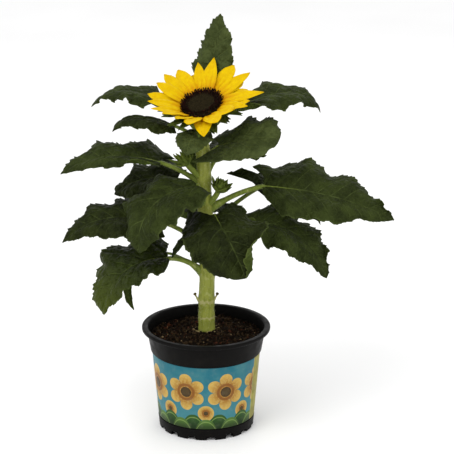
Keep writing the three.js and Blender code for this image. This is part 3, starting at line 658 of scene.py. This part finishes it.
def make_leaf(number, height, heading, stalk, own, more):
    stalk_length, pitch, droop, swing = stalk
    stalk_line = grow(stem_point(height), heading, pitch, stalk_length + JOIN_RADIUS, swing, droop)
    length, width, own_turn, pitch, droop = own
    thick = STALK_THICK.get(number, 1.4 + 0.011 * length)
    end, along = stalk_line[-1, :2]
    bend = {k: more[k] for k in ("power", "swing", "roll") if k in more}
    line = grow(end + along * 0.3, heading + swing + own_turn, pitch, length, droop=droop, **bend)
    rows = int(np.clip(length * 1.4, 36, 180))
    cols = int(np.clip(width * 0.36, 8, 28))
    form = {**{k: v for k, v in more.items() if k not in bend}, **FINER.get(number, {})}
    points, faces, sides, growth = blade(line, length, width, rows, cols, **form)
    name, skins = f"leaf_{number:02d}", [SKINS.get(number, LEAF_MID), LEAF_UNDER]
    piece(f"{name}_fine", points, faces, skins, sides, "leaf", [name], growth)

    t = np.linspace(0, 1, 40)
    turn = around(16)
    radius = thick * (1.15 - 0.35 * t + 0.45 * (1 - smooth(t, 0.1, 0.45)))
    groove = 1 - 0.2 * np.exp(-(((turn - TAU / 4) / 0.45) ** 2))[None] * smooth(t, 0.2, 0.4)[:, None]
    rings = tube(stalk_line, t, radius[:, None] * groove, 16)
    u = np.linspace(0.02, 0.42, 24)
    taper = thick * 0.8 * (1 - u / 0.44) ** 0.7
    sunk = RIB_SUNK_MORE.get(number, RIB_SUNK)
    spine = tube(line, u, taper, 16) - (at(line, u)[:, 3] * (sunk * taper + 0.1)[:, None])[:, None]
    limb(f"stalk_{number:02d}", np.concatenate([rings, spine]))
    hairs_along(stalk_line, 0.2, 1, int(stalk_length * 7), lambda s: np.interp(s, t, radius), 1.2, 0.09)


for leaf_number, leaf in LEAVES.items():
    make_leaf(leaf_number, *leaf)

# ---- Bloom ----

DISC_RADIUS, DISC_RISE, SEAT_RADIUS = 21, 5, 22
RAY_ROOT, MEAN_DIP = 21.8, 0.435
FLORETS, GOLDEN_ANGLE = 620, 2.39996
# The part's ray florets: direction, length, width, lift and how pointed.
RAYS = [
    (-2, 42, 15, 0, 0.8), (28, 40, 15, 5, 0.7), (47, 37, 17, 11, 0.5), (69, 40, 15, 18, 0.8),
    (86, 36, 13, 18, 0.8), (109, 35, 15, 18, 0.5), (126, 36, 14, 25, 0.5), (143, 34, 14, 29, 0.5),
    (161, 36, 14, 26, 0.6), (180, 36, 13, 33, 0.7), (197, 36, 13, 36, 0.7), (214, 32, 14, 38, 0.6),
    (233, 28, 13, 38, 0.6), (251, 29, 15, 28, 0.6), (268, 34, 16, 8, 0.8), (287, 30, 17, 20, 0.5),
    (309, 33, 16, 27, 0.6), (329, 33, 12, 11, 0.7),
]
LENGTH, LIFT = 1, 3  # columns of RAYS


def in_bloom(points):
    return points @ BLOOM_TURN.T + BLOOM_CENTRE


def near_rays(angle, column):
    """What the rays near an angle have in a column of the table, on average."""
    weights = [math.exp(-((((angle - ray[0] + 180) % 360 - 180) / 12) ** 2)) for ray in RAYS]
    return sum(w * ray[column] for w, ray in zip(weights, RAYS)) / sum(weights)


def level_start(angle, root, drop):
    return spoke(math.radians(angle)) * root - [0, 0, drop]


def make_rays():
    heap = Heap()
    second_row = 18
    for i, (angle, length, width, lift, tip) in enumerate(RAYS):
        inner = i % 2
        droop = 14 + 8 * math.sin(3.1 * i)
        line = grow(level_start(angle, RAY_ROOT - 0.6 * inner - 3, 0.4 - 0.5 * inner), angle,
                    lift + MEAN_DIP * droop, length + 3, droop=droop, roll=7 * math.sin(1.3 * i))
        add_ray(heap, line, i, length, width * 1.13, tip + 0.08)
    for i in range(second_row):  # under the first row, seen in its gaps
        angle = 360 * (i + 0.5) / second_row + 5 * math.sin(5.1 * i)
        length = near_rays(angle, LENGTH) * (0.75 + 0.08 * math.sin(2.3 * i))
        line = grow(level_start(angle, RAY_ROOT - 4, 1), angle, near_rays(angle, LIFT) + 3,
                    length, droop=10 + 6 * math.sin(1.7 * i), roll=8 * math.sin(3.3 * i))
        add_ray(heap, line, i + 31, length, 15, 0.6 + 0.15 * math.sin(4.1 * i))
    heap.made("bloom_rays_fine", [*RAY_SHADES, RAY_BACK], "ray", "bloom_rays")


def add_ray(heap, line, i, length, width, tip):
    cols = 13
    points, faces, sides, growth = small_blade(
        line, length, width, 32, cols, 14, -6, least=0.35, base=0.45, tip=tip, cup=(-8, -8), ruffle=0.03,
        waves=2, uneven=0.02, phase=0.37 * i, rib=0, thick=0.32)
    share, along = growth[:, 1], growth[:, 2]
    across = np.where(np.arange(len(share)) % (2 * cols + 1) < cols, -share, share)
    grooves = 0.42 * np.cos(TAU * 1.5 * across + 0.3) + 0.1 * np.cos(TAU * 3.5 * across + i)
    station = at(line, along)
    points = points + station[:, 3] * (grooves * smooth(along, 0.02, 0.3) * (1 - 0.4 * along))[:, None]
    notch = (1 - tip) * 2.4 * (0.5 - 0.5 * np.cos(TAU * 1.5 * across)) * smooth(along, 0.84, 0.98)
    points = points - station[:, 1] * notch[:, None]
    # Painted shade: faces in the grooves take the deeper orange shades and faces on the ridges the yellower
    # ones, plus a tone that differs from petal to petal.
    groove_shade_and_tone = 0.8 * np.cos(TAU * 1.5 * across[faces].mean(1) + 0.3) + 0.4 * math.sin(2.1 * i)
    shade = np.clip(along[faces].mean(1) * 10 + groove_shade_and_tone, 0, 4).astype(int)
    heap.add(in_bloom(points), faces, np.where(sides > 0, 5, shade))


def make_bracts():
    heap = Heap()
    deep, wide = SEAT_DEPTH, SEAT_RADIUS
    seat, faces = lathe([(0, -deep - 1), (NECK_RADIUS, -deep), (0.72 * wide, -0.72 * deep),
                         (0.95 * wide, -0.5 * deep), (wide, -0.3 * deep), (wide, -1.1), (0, -1.1)], 64)
    heap.add(in_bloom(seat), faces)
    for row, (count, root, drop, pitch, length, width) in enumerate([
            (16, 20.5, 3, -16, 25, 10), (14, 18.5, 5, -26, 22, 9), (12, 15.5, 7, -34, 18, 8)]):
        for i in range(count):
            angle = 360 * (i + 0.5 * (row + 1)) / count + 4 * math.sin(3.7 * i)
            line = grow(level_start(angle, root, drop), angle, near_rays(angle, LIFT) + pitch,
                        length * (1 + 0.1 * math.sin(2.2 * i)), droop=6 - 14 * row + 10 * math.sin(1.9 * i))
            points, faces, sides, _ = small_blade(line, length, width, 14, 4, 16, -8, least=0.25, base=0.5,
                                                  tip=1, ruffle=0.06, rib=0.4)
            heap.add(in_bloom(points), faces, sides)
    heap.made("bloom_bracts_fine", [BRACT, BRACT_PALE], "bract", "bloom_bracts")


def lathe(profile, segments):
    """Points and faces of a profile turned about the Z axis, closed at the axis."""
    turn = around(segments)
    points, rings, faces = [], [], []
    for radius, z in profile:
        if radius < 1e-6:
            rings.append([len(points)] * segments)
            points.append((0, 0, z))
        else:
            rings.append(list(range(len(points), len(points) + segments)))
            points.extend(circle(radius, turn, z))
    for low, high in zip(rings, rings[1:]):
        for i in range(segments):
            j = (i + 1) % segments
            faces.append(list(dict.fromkeys((low[i], low[j], high[j], high[i]))))
    return np.array(points, float), faces


def floret(heap, place, normal, radius, height, shade, open_top):
    """One small tube of the disc, flared, and sunk or pointed at its top."""
    sides = 6
    side = unit(np.cross(normal, [0.3, 0.9, 0.1]))
    other = np.cross(normal, side)
    turn = around(sides) + RNG.uniform(0, 1)
    out = np.cos(turn)[:, None] * side + np.sin(turn)[:, None] * other
    rings = [place + normal * height * share + radius * wide * out
             for share, wide in ((0, 0.8), (0.55, 0.75), (0.85, 1), (1, 0.55))]
    points = np.concatenate(rings + [[place + normal * height * (0.8 if open_top else 1.15)]])
    faces = sheet_faces(4, sides, True).tolist()
    faces += [(3 * sides + i, 3 * sides + (i + 1) % sides, 4 * sides) for i in range(sides)]
    heap.add(points, faces, shade)


def disc_height(radius):
    return DISC_RISE * np.interp(radius / DISC_RADIUS, [0, 0.5, 0.8, 0.95, 1], [0.62, 0.8, 1, 0.75, 0.4])


def make_disc():
    heap = Heap()
    profile = [(r, disc_height(r) - 1.2) for r in np.linspace(DISC_RADIUS - 0.8, 0.8, 16)]
    points, faces = lathe([(0, 0.3), (DISC_RADIUS - 1.2, 0.3), (DISC_RADIUS - 0.6, 1.2), *profile,
                           (0, disc_height(0) - 1.2)], 48)
    heap.add(in_bloom(points), faces)
    for i in range(FLORETS):
        radius = (DISC_RADIUS - 0.4) * ((i + 0.5) / FLORETS) ** 0.5
        out = spoke(i * GOLDEN_ANGLE)
        rel = radius / DISC_RADIUS
        slope = unit(out * (rel**3 + 0.5 * smooth(rel, 0.88, 1)) + [0, 0, 1])
        spot = out * radius + [0, 0, disc_height(radius) - 1.3]
        fringe = smooth(rel, 0.6, 0.72)
        tall = (1.1 + 2.3 * fringe + 0.7 * smooth(rel, 0.86, 0.97)) * RNG.uniform(0.7, 1.2)
        wide = 0.42 + 0.1 * fringe
        if rel < 0.62:
            shade = int(RNG.random() < 0.4)
        else:
            shade = 4 if RNG.random() < 0.05 else 2 + int(RNG.random() < 0.35)
        jitter = unit(slope + RNG.normal(0, 0.12 * (1 + fringe), 3))
        floret(heap, in_bloom(spot), BLOOM_TURN @ jitter, wide, tall, shade, rel > 0.62)
    heap.made("bloom_disc_fine", DISC_SHADES, "disc", "bloom_disc")


make_rays()
make_bracts()
make_disc()

# ---- Side shoots and buds ----

BUD_RADIUS, BUD_HEIGHT, BUD_SEAT = 7.6, 9, 3.2
# Height, turn, length, pitch and droop of each side shoot, and how long and how broad its bud's leaves are.
SHOOTS = {"left": (265, 206, 18, 38, -16, 1.1, 0.8), "right": (237, 327, 16, 38, -26, 0.92, 1.2)}


def make_shoot(name, height, turn, length, pitch, droop, opened, broad):
    line = grow(stem_point(height), turn, pitch, length + JOIN_RADIUS, droop=droop)
    t = np.linspace(0, 1, 24)
    limb(f"shoot_{name}", tube(line, t, 3.4 - 0.7 * t, 16))
    point, along, across, up = line[-1]

    def place(p):
        return p @ np.stack([across, -up, along]) + point + along * 0.3

    heap = Heap()
    body, faces = lathe([(0, 0), (BUD_SEAT, 0), (0.9 * BUD_RADIUS, 0.3 * BUD_HEIGHT),
                         (BUD_RADIUS * 0.96, 0.6 * BUD_HEIGHT), (0.6 * BUD_RADIUS, 0.92 * BUD_HEIGHT),
                         (0, BUD_HEIGHT * 0.95)], 24)
    heap.add(place(body), faces)
    for row, (count, ring, rise, tilt, long, wide) in enumerate([
            (9, 4.6, 1.6, 38, 12, 6.5), (9, 5.6, 3.6, 58, 10, 5), (8, 5.6, 5.2, 80, 8, 4),
            (7, 3.8, 7.4, 100, 6, 3), (5, 1.8, 8, 100, 4, 2.2)]):
        for i in range(count):
            angle = 360 * (i + 0.5 * row) / count + 6 * math.sin(2.7 * i + row)
            line = grow(level_start(angle, ring, -rise), angle,
                        tilt + 10 * math.sin(3.1 * i + row) + 20 * (1 - opened),
                        opened * long * (1 + 0.16 * math.sin(2 * i + row)),
                        droop=-24 if row < 2 else 10)
            points, faces, *_ = small_blade(line, long, broad * wide, 10, 3, 18, -6, least=0.2, base=0.4,
                                            tip=0.95, ruffle=0.04, rib=0.3, thick=0.45)
            heap.add(place(points), faces)
    heap.made(f"bud_{name}_fine", [BRACT_PALE], "bract", f"bud_{name}")


for shoot_name, given in SHOOTS.items():
    make_shoot(shoot_name, *given)

hairs.made("fine_hairs", [HAIR], "stem")

# ---- Pot, printed sleeve and soil ----

POT_HEIGHT, RIM_RADIUS, LIP_FOOT = 109, 66.5, 105
COLLAR_TOP, COLLAR_LOW, COLLAR_FOOT = 61.2, 57.4, 83
BODY_TOP, BODY_LOW, FOOT_TOP, POT_FOOT_RADIUS, FOOT_LOW = 55.2, 49, 12, 50.2, 49
WALL, FLOOR, CHANNEL, CHANNEL_IN, CHANNEL_OUT = 1.8, 2, 5, 38, 45.4
NOTCHES, NOTCH_HALF, NOTCH_TALL, NOTCH_END = 15, 4.5, 3.6, 56
DRAINS, DRAIN_RADIUS = 7, 2.6
SLEEVE_LOW, SLEEVE_HIGH, SLEEVE_THICK, SLEEVE_GAP = 13, 82, 0.6, 0.3
SLEEVE_LENGTH = 330  # round the pot
SOIL_MIDDLE, SOIL_EDGE, SOIL_GAP = 103.5, 98, 0.3
SOIL_RADIUS = COLLAR_LOW - WALL + (
    COLLAR_TOP - COLLAR_LOW) * (SOIL_EDGE - COLLAR_FOOT) / (LIP_FOOT - COLLAR_FOOT) - SOIL_GAP
CRUMB_COUNT, FIBRE_COUNT, ROOT_COUNT = 2600, 130, 26


def rounded(corners, radii):
    """A profile with its corners rounded: each corner's radius, 0 for sharp."""
    corners, out = np.array(corners, float), []
    for i, (c, radius) in enumerate(zip(corners, radii)):
        if not radius:
            out.append(c)
            continue
        before, after = corners[i - 1] - c, corners[i + 1] - c
        reach = min(radius, 0.45 * np.linalg.norm(before), 0.45 * np.linalg.norm(after))
        a, b = c + unit(before) * reach, c + unit(after) * reach
        out.extend((1 - u) ** 2 * a + 2 * u * (1 - u) * c + u * u * b for u in np.linspace(0, 1, 5))
    return out


def make_pot():
    roof = CHANNEL + FLOOR
    corners = [(0, 0), (CHANNEL_IN, 0), (CHANNEL_IN, CHANNEL), (CHANNEL_OUT, CHANNEL), (CHANNEL_OUT, 0),
               (FOOT_LOW, 0), (POT_FOOT_RADIUS, FOOT_TOP), (BODY_LOW, FOOT_TOP), (BODY_TOP, COLLAR_FOOT),
               (COLLAR_LOW, COLLAR_FOOT), (COLLAR_TOP, LIP_FOOT), (RIM_RADIUS, LIP_FOOT),
               (RIM_RADIUS, POT_HEIGHT), (COLLAR_TOP - 0.6, POT_HEIGHT), (COLLAR_TOP - WALL, LIP_FOOT),
               (COLLAR_LOW - WALL, COLLAR_FOOT), (BODY_LOW - WALL, roof), (CHANNEL_IN - FLOOR, roof),
               (CHANNEL_IN - FLOOR, FLOOR), (0, FLOOR)]
    radii = [0, 0.6, 0.6, 0.6, 0.5, 0.8, 0.8, 0.3, 0.4, 1.4, 1.2, 2.2, 2.4, 1.6, 2, 2, 2, 1, 1, 0]
    points, faces = lathe(rounded(corners, radii), 240)
    pot = piece("pot_fine", points, faces, [POT_MATERIAL], 0, "pot", ["pot"])
    cuts = Heap()
    for i in range(NOTCHES):
        tall = NOTCH_TALL * (1.4 if i % 3 == 0 else 1)
        half = [(NOTCH_HALF, -2), (NOTCH_HALF, tall * 0.62), (3.2, tall * 0.92), (1.2, tall)]
        arch = np.roll(half + [(-y, z) for y, z in half[::-1]], 1, 0)
        out = spoke(TAU * (i + 0.5) / NOTCHES)
        side = np.array([-out[1], out[0], 0])
        rows = [out * r + side * y + [0, 0, z] for r in (CHANNEL_OUT - 2, NOTCH_END) for y, z in arch]
        cuts.add(*capped(np.reshape(rows, (2, len(arch), 3))))
    for i in range(DRAINS):
        middle = 0.5 * (CHANNEL_IN + CHANNEL_OUT) * spoke(TAU * i / DRAINS)
        cuts.add(*capped(np.stack([circle(DRAIN_RADIUS, around(20), z) + middle
                                   for z in (CHANNEL - 1, roof + 1)])))
    cutter = placed("cutter", mesh_of("cutter", np.concatenate(cuts.points), cuts.faces))
    modifier = pot.modifiers.new("notches", "BOOLEAN")
    modifier.operation, modifier.solver, modifier.object = "DIFFERENCE", "MANIFOLD", cutter
    bpy.context.view_layer.objects.active = pot
    bpy.ops.object.modifier_apply(modifier=modifier.name)
    bpy.data.objects.remove(cutter)
    pot.data.set_sharp_from_angle(angle=math.radians(32))


def sleeve_material():
    """The printed sleeve: six-petalled rosettes and ringed dots over arches, and one plain panel."""
    m = Nodes("printed_sleeve", Roughness=0.42, Specular_IOR_Level=0.14)
    split = m.add("ShaderNodeSeparateXYZ", m.add("ShaderNodeUVMap", uv_map="print").outputs[0])
    u, v = split.outputs[:2]  # share round the sleeve, and height in centimetres

    def repeat(count, shift):
        return m.math("FRACT", m.math("ADD", m.times(u, count), shift))

    sky = m.mix(m.ramp(v, 1.2, 8), (62, 122, 132), (34, 102, 116))
    colour = m.mix(m.ramp(m.noise(18), 0.35, 0.7, 0, 0.35), sky, (78, 132, 132))
    flowers, arches = 8, 12
    for shift, middle, radius, notch in ((0.5, 3.1, 8.5, 0), (0, 5.4, 20.2, 0.4)):
        dx = m.times(m.minus(repeat(flowers, shift), 0.5), SLEEVE_LENGTH / flowers)
        dy = m.times(m.minus(v, middle), 10)
        far = m.math("SQRT", m.math("ADD", m.times(dx, dx), m.times(dy, dy)))
        turn = m.math("ARCTAN2", dy, dx)
        petals = m.math("POWER", m.math("ABSOLUTE", m.math("SINE", m.times(turn, 3))), 0.6)
        reach = m.times(m.math("ADD", m.times(petals, notch), 1 - notch), radius)
        inside = m.ramp(m.minus(reach, far), -0.15, 0.15)
        warm = m.mix(m.ramp(far, 0.35 * radius, radius), (146, 98, 34), (188, 154, 76))
        warm = m.mix(m.ramp(petals, 0, 0.5, 1.4 * notch, 0), warm, (116, 76, 30))
        warm = m.mix(m.ramp(m.noise(2.5), 0.4, 0.7, 0, 0.4), warm, (200, 178, 106))
        band = m.ramp(m.math("ABSOLUTE", m.minus(far, 0.4 * radius)), 0.05 * radius, 0.09 * radius, 1, 0)
        warm = m.mix(band, warm, (128, 82, 34))
        heart = m.ramp(m.minus(0.28 * radius, far), -0.2, 0.2)
        middle_tone = m.mix(m.ramp(far, 0.1 * radius, 0.36 * radius), (70, 58, 34), (40, 28, 18))
        warm = m.mix(heart, warm, m.mix(m.ramp(m.cells(1.3), 0.2, 0.8, 0, 0.6), middle_tone, (84, 62, 34)))
        colour = m.mix(inside, colour, warm)
    for shift, tall, shade in ((0, 2.9, (46, 82, 34)), (0.5, 2.4, (78, 112, 50))):
        off = m.math("ABSOLUTE", m.minus(m.times(repeat(arches, shift), 2), 1))
        deep = m.minus(m.minus(tall, m.times(m.math("POWER", off, 2.4), 1.6)), v)
        line = m.ramp(m.math("ABSOLUTE", m.minus(deep, 0.32)), 0.04, 0.08, 0.7, 0)
        green = m.mix(m.ramp(v, 1.3, tall), tuple(k * 0.55 for k in shade), shade)
        colour = m.mix(m.ramp(deep, -0.02, 0.02), colour, m.mix(line, green, (120, 146, 76)))
    panel = m.times(m.ramp(u, 0.9265, 0.9275), m.ramp(u, 1, 1.001, 1, 0))
    plain = m.mix(m.ramp(m.noise(9), 0.35, 0.7), (126, 120, 42), (150, 144, 58))
    colour = m.mix(panel, colour, plain)
    edge = m.times(m.ramp(u, 0.9245, 0.925), m.ramp(u, 0.927, 0.9275, 1, 0))
    colour = m.mix(edge, colour, (160, 156, 104))
    worn = m.mix(m.ramp(m.noise(6, 4), 0.45, 0.8, 0, 0.1), colour, (150, 150, 132))
    return m.done(worn, m.bump(m.noise(5, 2), 0.15, 0.3), m.ramp(m.noise(8), 0.3, 0.7, 0.36, 0.5))


def make_sleeve():
    segments, rows = 192, 24
    turn = around(segments)
    z = np.linspace(SLEEVE_LOW, SLEEVE_HIGH, rows)[:, None]
    radius = BODY_LOW + (BODY_TOP - BODY_LOW) * (z - FOOT_TOP) / (COLLAR_FOOT - FOOT_TOP) + SLEEVE_GAP
    points = np.stack([circle(radius + SLEEVE_THICK, turn, z), circle(radius, turn, z)]).reshape(-1, 3)
    count = rows * segments
    skin, foot = sheet_faces(rows, segments, True), sheet_faces(2, segments, True)
    foot[:, 2:] += count - segments
    faces = np.vstack([skin, skin[:, ::-1] + count, foot[:, ::-1], foot + count - segments])
    mesh = piece("sleeve_fine", points, faces, [sleeve_material()], 0, "pot_label", ["pot_label"]).data
    mesh.set_sharp_from_angle(angle=math.radians(40))
    corners = np.array([loop.vertex_index for loop in mesh.loops])
    column = (corners % segments).reshape(-1, 4)
    wraps = (column == 0).any(1) & (column == segments - 1).any(1)
    column[wraps[:, None] & (column == 0)] = segments
    uv = np.stack([column.ravel() / segments, points[corners, 2] / 10], 1)
    mesh.uv_layers.new(name="print").data.foreach_set("uv", uv.astype(np.float32).ravel())


def ground(x, y):
    """The height of the soil."""
    radius = np.hypot(x, y)
    plain = SOIL_MIDDLE + (SOIL_EDGE - SOIL_MIDDLE) * smooth(radius, 15, 58)
    wavy = (np.sin(0.31 * x + 1.7 * np.sin(0.17 * y)) + np.cos(0.37 * y + 1.3 * np.sin(0.23 * x))) / 2
    small = np.sin(1.1 * x + 2 * np.sin(0.7 * y)) * np.cos(1.3 * y + 1.5 * np.sin(0.9 * x))
    return plain + (1.1 * wavy + 0.45 * small) * smooth(radius, 9, 24)


def make_soil():
    turn = around(160)
    radius = np.linspace(0.8, SOIL_RADIUS, 60)[:, None]
    top = circle(radius, turn, 0)
    top[..., 2] = ground(top[..., 0], top[..., 1])
    well = CHANNEL_IN - FLOOR - 0.5
    low, bottom = CHANNEL + FLOOR + 0.5, FLOOR + 0.4
    skirt = ((COLLAR_LOW - WALL - SOIL_GAP, COLLAR_FOOT), (BODY_LOW - WALL - SOIL_GAP, low), (well, low),
             (well, bottom), (0.8, bottom))
    points, faces = capped(np.concatenate([top, [circle(r, turn, z) for r, z in skirt]]))
    piece("soil_fine", points, [f[::-1] for f in faces], [SOIL_MATERIAL], 0, "soil", ["soil"])


def make_crumbs():
    """Lumps of soil: icosahedra with their corners moved in and out."""
    golden = (1 + 5**0.5) / 2
    corners = unit(np.array([np.roll((a, b * golden, 0), k)
                             for k in range(3) for a in (-1, 1) for b in (-1, 1)]))
    faces = [f for f in combinations(range(12), 3) if np.linalg.norm(corners[list(f)].sum(0)) > 2.2]
    faces = [f if np.linalg.det(corners[list(f)]) > 0 else f[::-1] for f in faces]
    heap = Heap()
    for _ in range(CRUMB_COUNT):
        radius = SOIL_RADIUS * RNG.uniform(0.02, 0.97) ** 0.55
        if radius < 10:
            continue
        x, y, _ = radius * spoke(RNG.uniform(0, TAU))
        size = min(RNG.lognormal(0, 0.5), 3.4)
        shade = RNG.choice(4, p=[0.52, 0.35, 0.06, 0.07])
        if shade == 3:
            size *= 0.55
        if radius + size > SOIL_RADIUS - 0.5:
            continue
        lump = corners * RNG.uniform(0.6, 1.15, (12, 1)) * size * RNG.uniform(0.6, 1.1, 3)
        heap.add(lump + [x, y, ground(x, y) + 0.2 * size], faces, shade)
    heap.made("soil_crumbs", CRUMBS, "soil")


def make_fibres():
    """Fine roots near the stem, and fibres over the rest of the soil."""
    heap = Heap()
    for i in range(FIBRE_COUNT):
        near_stem = i < ROOT_COUNT
        radius = RNG.uniform(8.8, 13) if near_stem else SOIL_RADIUS * RNG.uniform(0.25, 0.9)
        x, y, _ = radius * spoke(RNG.uniform(0, TAU))
        line = grow((x, y, ground(x, y) + 0.3), RNG.uniform(0, 360), RNG.uniform(5, 40), RNG.uniform(4, 9),
                    swing=RNG.uniform(-120, 120), droop=RNG.uniform(30, 90))
        thick = RNG.uniform(0.3, 0.55) if near_stem else RNG.uniform(0.1, 0.22)
        u = np.linspace(0, 1, 8)
        heap.add(*capped(tube(line, u, thick * (1 - 0.6 * u), 5)), shade=int(not near_stem))
    heap.made("soil_fibres", [ROOT, CRUMBS[2]], "soil")


make_pot()
make_sleeve()
make_soil()
make_crumbs()
make_fibres()

# ---- Floor ----

FLOOR_HALF = 6000
floor_corners = np.array([(-1, -1, 0), (1, -1, 0), (1, 1, 0), (-1, 1, 0)]) * FLOOR_HALF
floor = placed("floor", mesh_of("floor", floor_corners, [(0, 1, 2, 3)]))
pale = Nodes("pale_floor", Roughness=0.9)
shade = pale.mix(pale.ramp(pale.noise(400, 2), 0.3, 0.7), (246, 246, 246), (250, 250, 250))
floor.data.materials.append(pale.done(shade))
